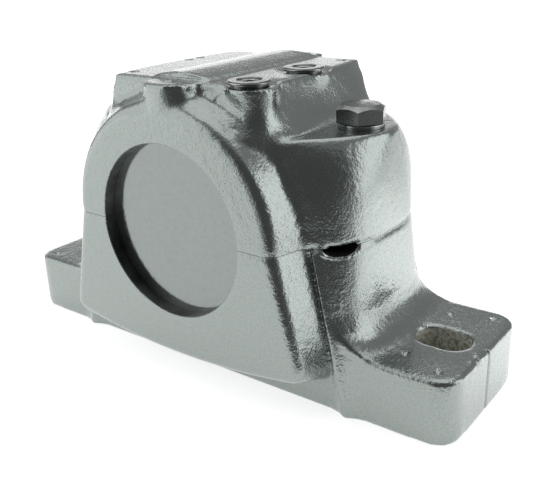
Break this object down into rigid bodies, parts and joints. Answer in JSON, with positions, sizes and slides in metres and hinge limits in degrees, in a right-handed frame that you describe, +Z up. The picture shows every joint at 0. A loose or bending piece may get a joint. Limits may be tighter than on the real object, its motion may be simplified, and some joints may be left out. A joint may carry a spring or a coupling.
{
  "type": "split plummer block",
  "caption": "Split cast bearing housing bolted to a flat base, holding a self-aligning roller bearing on a tapered sleeve, open at the rear and covered at the front.",
  "frame": {"origin": "middle of the sole, straight below the centre of the bearing", "axes": "+X along the feet, +Y along the shaft towards the open rear end, +Z up"},
  "size_m": [0.275, 0.12, 0.152],
  "materials": {
    "enamel": "gloss",
    "cover_gloss": "gloss",
    "bolt_steel": "satin",
    "plug_steel": "satin",
    "bearing_steel": "polished",
    "cage_brass": "satin",
    "seal_rubber": "matt"
  },
  "bodies": {
    "housing": {"base": "enamel", "cap": "enamel", "cap_bolt_right": "bolt_steel", "cap_bolt_left": "bolt_steel", "bolt_washer_right": "bolt_steel", "bolt_washer_left": "bolt_steel", "dowel_pin_right": "bolt_steel", "dowel_pin_left": "bolt_steel", "grease_plug_front": "plug_steel", "grease_plug_rear": "plug_steel", "locating_ring_front": "bearing_steel", "locating_ring_rear": "bearing_steel", "outer_ring": "bearing_steel", "end_cover": "cover_gloss", "end_cover_cord": "seal_rubber", "seal_half_upper": "seal_rubber", "seal_half_lower": "seal_rubber"},
    "aligner": {"guide_ring": "bearing_steel"},
    "shaft_group": {"inner_ring": "bearing_steel", "adapter_sleeve": "bearing_steel", "lock_washer": "bearing_steel", "lock_nut": "bearing_steel"},
    "roller_group": {"cage_front": "cage_brass", "cage_rear": "cage_brass", "rollers_front": "bearing_steel", "rollers_rear": "bearing_steel"}
  },
  "joints": [
    {"name": "self_align", "type": "hinge", "parent": "housing", "child": "aligner", "pos_m": [0, 0, 0.08], "axis": [1, 0, 0], "range_deg": [-1, 1]},
    {"name": "shaft_spin", "type": "hinge", "parent": "aligner", "child": "shaft_group", "pos_m": [0, 0, 0.08], "axis": [0, 1, 0], "continuous": true},
    {"name": "roller_orbit", "type": "hinge", "parent": "aligner", "child": "roller_group", "pos_m": [0, 0, 0.08], "axis": [0, 1, 0], "continuous": true}
  ],
  "couplings": [
    {"joint": "roller_orbit", "follows": "shaft_spin", "ratio": 0.4213}
  ]
}
